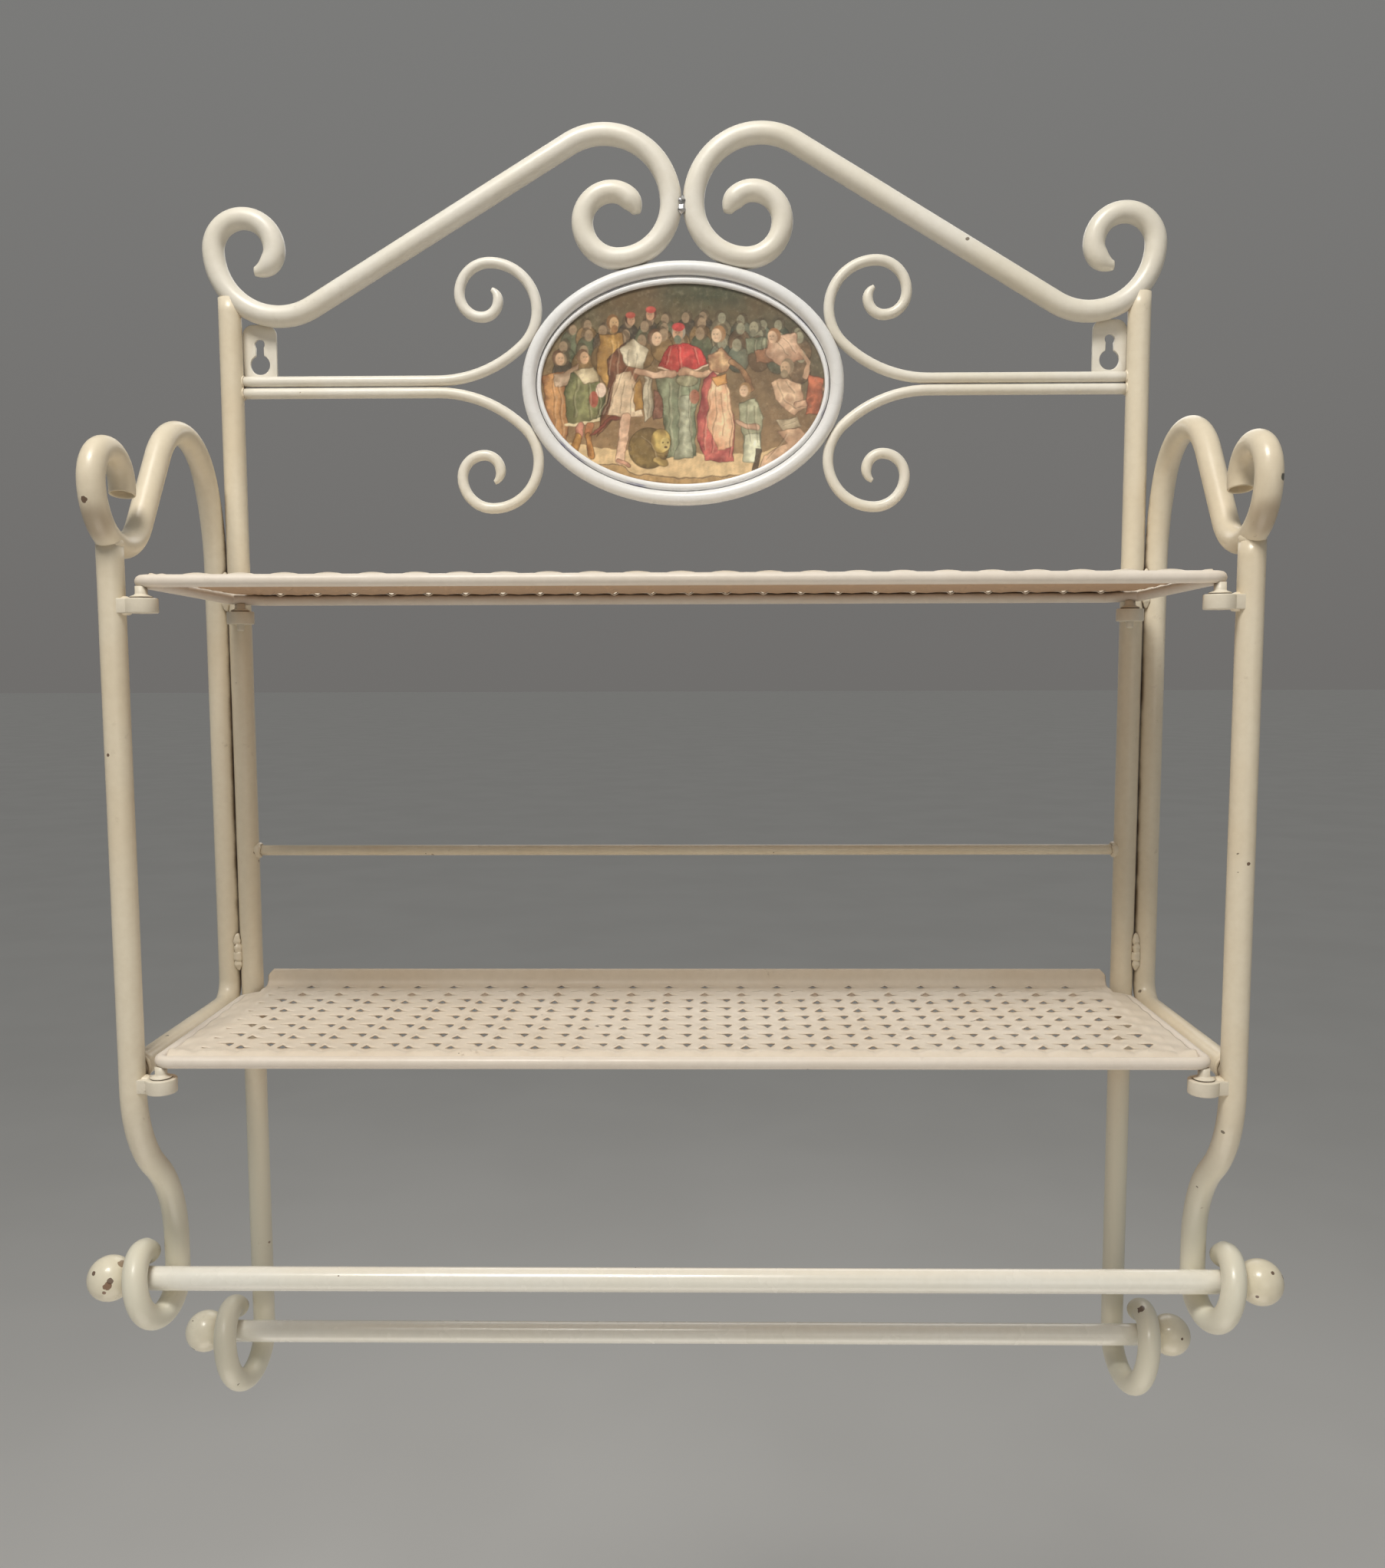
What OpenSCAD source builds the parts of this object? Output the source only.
// Wall-hung towel rack in enamelled steel: a scrolled back frame, two scrolled side frames,
// two lift-out shelves and two towel bars with ball ends.
// The origin is midway between the two hanging holes, on the wall plane. +X is the rack's left
// as it faces the room turned to the viewer's right, -Y points out from the wall, +Z is up.

/* [Back frame] */
// Distance between the axes of the two rear uprights
frame_w = 505; // [450:5:600]
// Outside diameter of the bent tubes
tube_d = 12.5; // [12:0.1:12.6]
// Outside diameter of the crest tubes
crest_d = 12; // [11:0.25:12]
// Outside diameter of the thin rods
rod_d = 6; // [5:0.25:6]
// Radius of the bend at each peak of the crest
crest_peak_r = 37; // [34:0.5:38]
// Height of the centre of the crest's peak bend above the hanging holes
crest_peak_z = 84.6; // [82:0.2:90]
// Radius of the dip in the crest above each upright
crest_dip_r = 36; // [32:0.5:40]
// Height of the plain back rod
back_rod_z = -275; // [-300:1:-240]

/* [Medallion] */
// Half-width of the rim's centre line
rim_a = 86; // [84:0.5:88]
// Half-height of the rim's centre line
rim_b = 62.9; // [60:0.5:64]
// Diameter of the rim's rod
rim_d = 7.8; // [7:0.1:8]

/* [Side frames] */
// Distance from the rear uprights' axes forward to the front uprights' axes
side_depth = 133; // [128:1:140]
// Distance that the side frames stand outboard of the rear uprights, axis to axis
side_offset = 13; // [13:0.1:14]
// Height of the rail that joins each side scroll to its front upright
rail_z = -364; // [-380:1:-350]

/* [Shelves] */
// Height of the upper shelf's wire rim
upper_shelf_z = -128.8; // [-132:0.2:-128]
// Angle that the upper shelf leans back at, as its rear lugs are set lower
upper_shelf_lean = 1.3; // [0:0.1:1.5]
// Height of the lower shelf's wire rim
lower_shelf_z = -359; // [-366:0.2:-355]
// Diameter of the shelves' wire rims
rim_wire_d = 6; // [5:0.25:6]
// Thickness of the shelf sheets
sheet_t = 1.2; // [1:0.1:1.5]

/* [Towel bars] */
// Diameter of the towel bars
bar_d = 12; // [10:0.5:12]
// Diameter of the ball ends
ball_d = 23; // [20:0.5:24]
// Height of the front bar
front_bar_z = -482; // [-483:0.5:-481]
// Height of the rear bar
rear_bar_z = -555; // [-557:0.5:-554]
// How far each curl steps outboard from its start to its open end
curl_step = 13; // [12.6:0.2:14]

/* [Hidden] */
$fn = 64;

// Colours: cream enamel, the paler enamel of the crest and scrolls, the glossy bars, the picture
cream = [0.80, 0.75, 0.65];
pale = [0.86, 0.84, 0.80];
gloss_white = [0.92, 0.91, 0.84];
painting = [0.52, 0.42, 0.30];
bead_silver = [0.70, 0.71, 0.72];

tube_r = tube_d / 2;
rod_r = rod_d / 2;
wire_r = rim_wire_d / 2;
tube_wall = 1.1;
mouth_depth = 7;
weld = 1;
tube_sides = 12;
rod_sides = 8;
tube_arc_step = 12;
rod_arc_step = 14;

upright_x = frame_w / 2;
side_x = upright_x + side_offset;
tube_y = -tube_r;
front_y = tube_y - side_depth;

// Keyhole plates: flat against the wall, with the twin rods welded across their faces
plate_t = 2;
plate_w = 19;
plate_top = 22;
plate_bottom = -11;
plate_corner_r = 6;
hang_x = upright_x - 14.6;
hang_r = 5.5;
seat_r = 2.8;
seat_z = 11.2;
slot_w = 4.4;
rod_y = -plate_t - rod_r + 0.1;

// Crest, in the plane of the wall: centres of the peak bend and of the dip
peak_x = crest_peak_r + crest_d / 2 + 0.2;
dip_x = upright_x - 28;
dip_z = 61.2;
tip_share = 0.42;

// C-scrolls: the twin rods and the height that the upper and lower scrolls mirror about
twin_z = -13.3;
twin_half = 3.2;
scroll_start_x = 137.5;

// Medallion layers, from the wall outwards
medallion_z = -12.9;
backing_y = -2.4;
backing_t = 1.2;
picture_t = 2;
bezel_lip_t = 1.8;

// Side scroll, in a plane at right angles to the wall
leg_top_z = -115;
elbow_r = 14;
mouth_r = tube_r - tube_wall;

// Curls at the feet of the uprights
front_curl_r = 16;
front_curl_z = -485;
rear_curl_r = 20;
rear_curl_z = -562;
curl_turn = 315;
sway_r = 63.4;
sway_turn = 49.2;
sway_start_z = -372;
front_top_z = -112;

// Shelves: wire rim, pressed sheet with its rear edge turned up, pins and their lugs
rim_half_w = 252.5 + (frame_w - 505) / 2;
rim_front_y = front_y - 2;
rim_rear_y = tube_y - 2;
rim_step = 14.5;
rim_corner_r = 6;
rim_bend_r = 4;
lip_r = 5.5;
lip_y = tube_y + 3.9;
lip_top = 13.8;
lip_half_w = rim_half_w - 8;
lip_chamfer = 4;
sheet_front_z = 0.4;
sheet_rear_z = wire_r + sheet_t / 2 + 0.1;
front_pin = [rim_half_w - 1.5, rim_front_y + 1];
rear_pin = [rim_half_w - 4.5, tube_y - 12.2];
pin_r = 2;
sleeve_r = 2.8;
foot_r = 5.2;
foot_h = 1.4;
lug_r = 7.4;
lug_bore_r = 4.4;
lug_h = 7;
lug_neck = 9;
front_lug_drop = 8;
rear_lug_drop = 9.7;
lean_drop = (rear_pin.y - rim_front_y) * sin(upper_shelf_lean);
pin_gap = 0.3;

// Towel bars and their ball ends
front_bar_y = tube_y - 105;
rear_bar_y = tube_y - 20;
front_ball_x = side_x + 28.3;
rear_ball_x = upright_x + 27.1;
stud_r = 3;
stud_fit = 0.03;
stud_in_bar = 12;
stud_in_ball = 9;
drill_extra = 2;

// Unit vector at an angle in the plane
function dir(a) = [cos(a), sin(a)];

// Centre line of a bent bar, as points [x, y, heading]. Each step is [length, 0] for a
// straight run or [radius, angle] for a bend, where a left-hand bend is positive.
function bends(p, heading, steps, arc_step, i = 0) =
    i == len(steps) ? [] :
    let (
        size = steps[i][0],
        turn = steps[i][1],
        side = sign(turn),
        centre = p + size * dir(heading + 90 * side),
        n = max(1, ceil(abs(turn) / arc_step)),
        end = turn == 0 ? p + size * dir(heading) : centre + size * dir(heading - 90 * side + turn)
    )
    concat(
        turn == 0 ? [[end.x, end.y, heading]] :
        [
            for (k = [1 : n])
                let (a = turn * k / n, q = centre + size * dir(heading - 90 * side + a))
                [q.x, q.y, heading + a]
        ],
        bends(end, heading + turn, steps, arc_step, i + 1)
    );

function bent(p, heading, steps, arc_step) =
    concat([[p.x, p.y, heading]], bends(p, heading, steps, arc_step));

// Stations of a bar, as [x, y, z, heading, radius]
function stations(path, r) = [for (s = path) [s.x, s.y, 0, s[2], r]];

// The same with both ends drawn down to a rounded point over the given number of rings
function pointed(path, r, first, last) =
    let (n = len(path) - 1)
    [
        for (i = [0 : n])
            let (
                a = first == 0 ? 1 : min(1, i / first),
                b = last == 0 ? 1 : min(1, (n - i) / last),
                share = tip_share + (1 - tip_share) * sin(90 * min(a, b))
            )
            [path[i].x, path[i].y, 0, path[i][2], r * share]
    ];

// The rings that turn the last end of a tube into an open mouth
function with_mouth(s, r, depth) =
    let (e = s[len(s) - 1], back = dir(e[3]) * depth)
    concat(s, [[e[0], e[1], e[2], e[3], r], [e[0] - back.x, e[1] - back.y, e[2], e[3], r]]);

// One ring of points around a station
function ring(s, sides) =
    let (n = dir(s[3] + 90))
    [
        for (k = [0 : sides - 1])
            let (c = s[4] * cos(360 * k / sides), z = s[4] * sin(360 * k / sides))
            [s[0] + c * n.x, s[1] + c * n.y, s[2] + z]
    ];

// A bar through its stations, capped at both ends, or joined end to start when closed
module bar_skin(s, sides, closed = false) {
    n = len(s);
    rows = closed ? n : n - 1;
    walls = [
        for (i = [0 : rows - 1], k = [0 : sides - 1])
            let (a = i * sides, b = ((i + 1) % n) * sides, m = (k + 1) % sides)
            [a + k, b + k, b + m, a + m]
    ];
    caps = closed ? [] : [
        [for (k = [0 : sides - 1]) k],
        [for (k = [sides - 1 : -1 : 0]) (n - 1) * sides + k]
    ];
    polyhedron([for (p = s) each ring(p, sides)], concat(walls, caps));
}

// Planes of the drawing: local (x, y) becomes (X, Z), or (Y, Z) seen from +X
module in_wall_plane(y) {
    translate([0, y, 0]) rotate([90, 0, 0]) children();
}

module in_side_plane(x) {
    translate([x, 0, 0]) rotate([90, 0, 90]) children();
}

module on_left() {
    mirror([1, 0, 0]) children();
}

// ---- Back frame ----

// A straight tube that ends in a curl stepping outboard round a towel bar
module curled_upright(x, lead, lead_p, curl_r) {
    path = bent(lead_p, -90, concat(lead, [[curl_r, -curl_turn]]), tube_arc_step);
    turns = ceil(curl_turn / tube_arc_step);
    n = len(path) - 1;
    s = [
        for (i = [0 : n])
            let (t = max(0, (i - n + turns) / turns))
            [path[i].x, path[i].y, curl_step * (1 - cos(180 * t)) / 2, path[i][2], tube_r]
    ];
    in_side_plane(x) bar_skin(with_mouth(s, mouth_r, mouth_depth), tube_sides);
}

module rear_upright() {
    top_z = 35;
    curled_upright(upright_x, [[top_z - rear_curl_z, 0]], [tube_y, top_z], rear_curl_r);
}

module rear_upright_right() {
    color(cream) rear_upright();
}

module rear_upright_left() {
    color(cream) on_left() rear_upright();
}

// From the inner spiral's point, over the peak, down through the dip and round the end curl
module crest_scroll() {
    spacing = [dip_x - peak_x, dip_z - crest_peak_z];
    reach = norm(spacing);
    radii = crest_peak_r + crest_dip_r;
    run = sqrt(reach * reach - radii * radii);
    fall = asin(radii / reach) - atan2(spacing.y, spacing.x);
    peak_turn = 90 + fall;
    spiral = [[13.5, -82], [16.5, -90], [19.5, -90], [29.5, -90]];
    end_curl = [[17, 180], [11.5, 88]];
    steps = concat(spiral, [[crest_peak_r, -peak_turn], [run, 0], [crest_dip_r, peak_turn]], end_curl);
    spiral_x = peak_x - crest_peak_r + 29.5;
    start = [spiral_x + 3, crest_peak_z - 7] + 13.5 * dir(172);
    in_wall_plane(tube_y)
        bar_skin(pointed(bent(start, 82, steps, tube_arc_step), crest_d / 2, 3, 3), tube_sides);
}

module crest_scroll_right() {
    color(pale) crest_scroll();
}

module crest_scroll_left() {
    color(pale) on_left() crest_scroll();
}

// A round bead of weld lying along Z
module bead(d, length) {
    translate([0, 0, -length / 2]) {
        cylinder(d = d, h = length, $fn = 32);
        sphere(d = d, $fn = 32);
        translate([0, 0, length]) sphere(d = d, $fn = 32);
    }
}

module crest_weld_bead() {
    color(bead_silver) translate([0, tube_y - 2.5, crest_peak_z - 1.5]) bead(5, 6);
}

// A rod from the upright that swings away and rolls up into a spiral, drawn above the twin line
module c_scroll() {
    spiral = [[70, -43.5], [26, -136.5], [17, -90], [12.5, -90], [9, -90], [7, -60]];
    start_x = upright_x - tube_r + weld;
    steps = concat([[start_x - scroll_start_x, 0]], spiral);
    path = bent([start_x, twin_half], 180, steps, rod_arc_step);
    in_wall_plane(rod_y) translate([0, twin_z]) bar_skin(pointed(path, rod_r, 0, 3), rod_sides);
}

module lower_c_scroll() {
    translate([0, 0, 2 * twin_z]) mirror([0, 0, 1]) c_scroll();
}

module c_scroll_upper_right() {
    color(pale) c_scroll();
}

module c_scroll_upper_left() {
    color(pale) on_left() c_scroll();
}

module c_scroll_lower_right() {
    color(pale) lower_c_scroll();
}

module c_scroll_lower_left() {
    color(pale) on_left() lower_c_scroll();
}

// An elliptical plate facing the room, its back at y
module oval_plate(a, b, y, t) {
    translate([0, y, medallion_z]) rotate([90, 0, 0])
        linear_extrude(t) polygon([for (i = [0 : 5 : 355]) [a * cos(i), b * sin(i)]]);
}

module medallion_rim() {
    s = [
        for (i = [0 : 7.5 : 352.5])
            [rim_a * cos(i), rim_b * sin(i), 0, atan2(rim_b * cos(i), -rim_a * sin(i)), rim_d / 2]
    ];
    color(pale) in_wall_plane(tube_y) translate([0, medallion_z]) bar_skin(s, rod_sides, closed = true);
}

// A stepped ring: its lip holds the picture, its skirt goes round the picture's edge
module medallion_bezel() {
    back = backing_y - backing_t;
    lip_back = back - picture_t;
    color(pale) difference() {
        oval_plate(rim_a - 4.6, rim_b - 4.6, back, picture_t + bezel_lip_t);
        oval_plate(rim_a - 6.4, rim_b - 7.5, lip_back + 1, bezel_lip_t + 2);
        oval_plate(rim_a - 5.2, rim_b - 6.3, back + 1, picture_t + 1);
    }
}

module medallion_picture() {
    color(painting) oval_plate(rim_a - 5.3, rim_b - 6.4, backing_y - backing_t, picture_t);
}

module medallion_backing() {
    color(pale) oval_plate(rim_a - 3.2, rim_b - 3.2, backing_y, backing_t);
}

// A hanger plate with a keyhole: the round hole drops over a screw head, which then seats above
module keyhole_plate() {
    half = plate_w / 2 - plate_corner_r;
    rounded_z = plate_top - plate_corner_r;
    rotate([90, 0, 0]) linear_extrude(plate_t) translate([hang_x, 0]) difference() {
        union() {
            translate([-plate_w / 2, plate_bottom]) square([plate_w, rounded_z - plate_bottom]);
            translate([-half, rounded_z]) square([2 * half, plate_corner_r]);
            for (x = [-half, half]) translate([x, rounded_z]) circle(plate_corner_r);
        }
        circle(hang_r);
        translate([0, seat_z]) circle(seat_r);
        translate([-slot_w / 2, 0]) square([slot_w, seat_z]);
    }
}

module keyhole_plate_right() {
    color(pale) keyhole_plate();
}

module keyhole_plate_left() {
    color(pale) on_left() keyhole_plate();
}

module back_rod() {
    half = upright_x - tube_r + weld;
    color(cream) translate([0, tube_y, back_rod_z]) {
        translate([-half, 0, 0]) rotate([0, 90, 0]) cylinder(d = rod_d, h = 2 * half);
        for (s = [-1, 1])
            translate([s * half, 0, 0]) rotate([0, -s * 90, 0])
                cylinder(d1 = rod_d + 3, d2 = rod_d, h = 4);
    }
}

// ---- Side frames ----

module front_upright() {
    lead = [
        [front_top_z - sway_start_z, 0],
        [sway_r, sway_turn],
        [sway_r, -sway_turn],
        [sway_start_z - 2 * sway_r * sin(sway_turn) - front_curl_z, 0]
    ];
    curled_upright(side_x, lead, [front_y, front_top_z], front_curl_r);
}

module front_upright_right() {
    color(cream) front_upright();
}

module front_upright_left() {
    color(cream) on_left() front_upright();
}

// One tube: rail, elbow, leg, arch, dip and the front curl with its open mouth
module side_scroll() {
    start_y = front_y + tube_r - weld;
    dip_run = 45.35 + (side_depth - 133);
    steps = [
        [tube_y - elbow_r - start_y, 0],
        [elbow_r, 90],
        [leg_top_z - rail_z - elbow_r, 0],
        [110, 26.1],
        [36.5, 119.7],
        [dip_run, 0],
        [27, -145.8],
        [16.5, -90],
        [15.5, -103]
    ];
    s = stations(bent([start_y, rail_z], 0, steps, tube_arc_step), tube_r);
    in_side_plane(side_x) bar_skin(with_mouth(s, mouth_r, mouth_depth), tube_sides);
}

module side_scroll_right() {
    color(cream) side_scroll();
}

module side_scroll_left() {
    color(cream) on_left() side_scroll();
}

// Beads in the groove between each rear upright and the leg of its side scroll
module side_weld_beads() {
    groove_x = upright_x + side_offset / 2;
    color(cream)
        for (x = [-groove_x, groove_x], z = [leg_top_z - 12, rail_z + 30])
            translate([x, tube_y - 4.6, z]) bead(5, 16);
}

// ---- Lugs and shelves ----

// A ring on the frame that takes a shelf pin, coped to the upright it is welded to
module lug(pin, post, top_z) {
    reach = post - pin;
    translate([0, 0, top_z - lug_h]) linear_extrude(lug_h) difference() {
        union() {
            translate(pin) circle(lug_r);
            translate(pin) rotate(atan2(reach.y, reach.x))
                translate([0, -lug_neck / 2]) square([norm(reach), lug_neck]);
        }
        translate(pin) circle(lug_bore_r);
        translate(post) circle(tube_r);
    }
}

module front_lugs(shelf_z) {
    color(cream) for (m = [0, 1]) mirror([m, 0, 0])
        lug(front_pin, [side_x, front_y], shelf_z - front_lug_drop);
}

module rear_lugs(shelf_z) {
    color(cream) for (m = [0, 1]) mirror([m, 0, 0])
        lug(rear_pin, [upright_x, tube_y], shelf_z - rear_lug_drop);
}

module upper_front_lugs() {
    front_lugs(upper_shelf_z);
}

module upper_rear_lugs() {
    rear_lugs(upper_shelf_z);
}

module lower_front_lugs() {
    front_lugs(lower_shelf_z);
}

module lower_rear_lugs() {
    rear_lugs(lower_shelf_z);
}

// A closed wire: straight rear run, a step in at each rear corner, sides and front
module shelf_rim(z) {
    bend_t = rim_bend_r * tan(22.5);
    rear_half = rim_half_w - rim_step;
    slant = rim_step * sqrt(2) - 2 * bend_t;
    side_run = rim_rear_y - rim_step - rim_front_y - bend_t - rim_corner_r;
    right = [
        [rear_half - bend_t, 0], [rim_bend_r, -45], [slant, 0], [rim_bend_r, -45],
        [side_run, 0], [rim_corner_r, -90], [rim_half_w - rim_corner_r, 0]
    ];
    left = [for (i = [len(right) - 1 : -1 : 0]) right[i]];
    loop = bends([0, rim_rear_y], 0, concat(right, left), rod_arc_step);
    color(cream) translate([0, 0, z]) bar_skin(stations(loop, wire_r), rod_sides, closed = true);
}

// The sheet's section: it slopes up from the front wire, over the rear wire, and turns up at the lip
module sheet_section() {
    front = [rim_front_y + wire_r - 0.4, sheet_front_z];
    bend = [lip_y - lip_r, sheet_rear_z];
    slope = atan2(bend.y - front.y, bend.x - front.x);
    steps = [[norm(bend - front), 0], [lip_r, 90 - slope], [lip_top - bend.y - lip_r, 0]];
    path = bent(front, slope, steps, 15);
    n = len(path) - 1;
    above = [for (p = path) [p.x, p.y] + dir(p[2] + 90) * sheet_t / 2];
    below = [for (i = [n : -1 : 0]) [path[i].x, path[i].y] - dir(path[i][2] + 90) * sheet_t / 2];
    polygon(concat(above, below));
}

module shelf_sheet(z) {
    half = rim_half_w - wire_r + 0.4;
    step_y = rim_rear_y - rim_step;
    outline = [[half, rim_front_y], [half, step_y - 1], [lip_half_w, step_y + 4.4], [lip_half_w, 0]];
    mirrored = [for (i = [len(outline) - 1 : -1 : 0]) [-outline[i].x, outline[i].y]];
    color(cream) translate([0, 0, z]) difference() {
        intersection() {
            in_side_plane(-half) linear_extrude(2 * half) sheet_section();
            translate([0, 0, -5]) linear_extrude(30) polygon(concat(outline, mirrored));
        }
        for (s = [-1, 1])
            translate([s * lip_half_w, lip_y, lip_top]) rotate([0, 45, 0])
                cube([lip_chamfer * sqrt(2), 10, lip_chamfer * sqrt(2)], center = true);
    }
}

// A pin on the shelf: a sleeve and flared foot that stand on the lug, and the pin inside it
module shelf_pin(pin, lug_drop, pin_below) {
    foot_z = pin_gap - lug_drop;
    translate([pin.x, pin.y, 0]) {
        translate([0, 0, foot_z + foot_h]) cylinder(r = sleeve_r, h = -foot_z - foot_h - wire_r + 0.6);
        translate([0, 0, foot_z]) cylinder(r1 = foot_r, r2 = sleeve_r, h = foot_h);
        translate([0, 0, foot_z - pin_below]) cylinder(r = pin_r, h = pin_below);
    }
}

module shelf_pins(z, rear_drop) {
    color(cream) translate([0, 0, z])
        for (m = [0, 1]) mirror([m, 0, 0]) {
            shelf_pin(front_pin, front_lug_drop, 7.5);
            shelf_pin(rear_pin, rear_drop, 11);
        }
}

// Tips a part of the upper shelf back about its front wire
module leaning() {
    translate([0, rim_front_y, upper_shelf_z]) rotate([-upper_shelf_lean, 0, 0])
        translate([0, -rim_front_y, -upper_shelf_z]) children();
}

module upper_shelf_rim() {
    leaning() shelf_rim(upper_shelf_z);
}

module upper_shelf_sheet() {
    leaning() shelf_sheet(upper_shelf_z);
}

module upper_shelf_pins() {
    leaning() shelf_pins(upper_shelf_z, rear_lug_drop - lean_drop);
}

module lower_shelf_rim() {
    shelf_rim(lower_shelf_z);
}

module lower_shelf_sheet() {
    shelf_sheet(lower_shelf_z);
}

module lower_shelf_pins() {
    shelf_pins(lower_shelf_z, rear_lug_drop);
}

// ---- Towel bars ----

// Where a bar ends: the flat on each ball is as wide as the bar
function bar_half(ball_x) = ball_x - sqrt(pow(ball_d / 2, 2) - pow(bar_d / 2, 2));

module towel_bar(y, z, ball_x) {
    half = bar_half(ball_x);
    depth = stud_in_bar + drill_extra;
    color(gloss_white) translate([0, y, z]) difference() {
        translate([-half, 0, 0]) rotate([0, 90, 0]) cylinder(d = bar_d, h = 2 * half);
        for (x = [-half - 1, half - depth])
            translate([x, 0, 0]) rotate([0, 90, 0]) cylinder(r = stud_r + stud_fit, h = depth + 1);
    }
}

module bar_studs(y, z, ball_x) {
    half = bar_half(ball_x);
    color(bead_silver) translate([0, y, z])
        for (m = [0, 1]) mirror([m, 0, 0])
            translate([half - stud_in_bar, 0, 0]) rotate([0, 90, 0])
                cylinder(r = stud_r, h = stud_in_bar + stud_in_ball);
}

// A ball with a flat for the bar's end and a blind hole for the stud, turned about the bar's axis
module ball_end(y, z, ball_x) {
    seat = ball_x - bar_half(ball_x);
    hole = stud_in_ball + drill_extra;
    color(cream) translate([ball_x, y, z]) rotate([0, 90, 0]) rotate_extrude() difference() {
        intersection() {
            circle(d = ball_d);
            translate([0, -seat]) square([ball_d, ball_d]);
        }
        translate([-1, -seat - 1]) square([1 + stud_r + stud_fit, hole + 1]);
    }
}

module front_bar() {
    towel_bar(front_bar_y, front_bar_z, front_ball_x);
}

module front_bar_studs() {
    bar_studs(front_bar_y, front_bar_z, front_ball_x);
}

module front_ball_right() {
    ball_end(front_bar_y, front_bar_z, front_ball_x);
}

module front_ball_left() {
    on_left() ball_end(front_bar_y, front_bar_z, front_ball_x);
}

module rear_bar() {
    towel_bar(rear_bar_y, rear_bar_z, rear_ball_x);
}

module rear_bar_studs() {
    bar_studs(rear_bar_y, rear_bar_z, rear_ball_x);
}

module rear_ball_right() {
    ball_end(rear_bar_y, rear_bar_z, rear_ball_x);
}

module rear_ball_left() {
    on_left() ball_end(rear_bar_y, rear_bar_z, rear_ball_x);
}

rear_upright_left();
rear_upright_right();
crest_scroll_left();
crest_scroll_right();
crest_weld_bead();
c_scroll_upper_left();
c_scroll_upper_right();
c_scroll_lower_left();
c_scroll_lower_right();
medallion_rim();
medallion_bezel();
medallion_picture();
medallion_backing();
keyhole_plate_left();
keyhole_plate_right();
back_rod();
front_upright_left();
front_upright_right();
side_scroll_left();
side_scroll_right();
side_weld_beads();
upper_front_lugs();
upper_rear_lugs();
lower_front_lugs();
lower_rear_lugs();
upper_shelf_rim();
upper_shelf_sheet();
upper_shelf_pins();
lower_shelf_rim();
lower_shelf_sheet();
lower_shelf_pins();
front_bar();
front_bar_studs();
front_ball_left();
front_ball_right();
rear_bar();
rear_bar_studs();
rear_ball_left();
rear_ball_right();
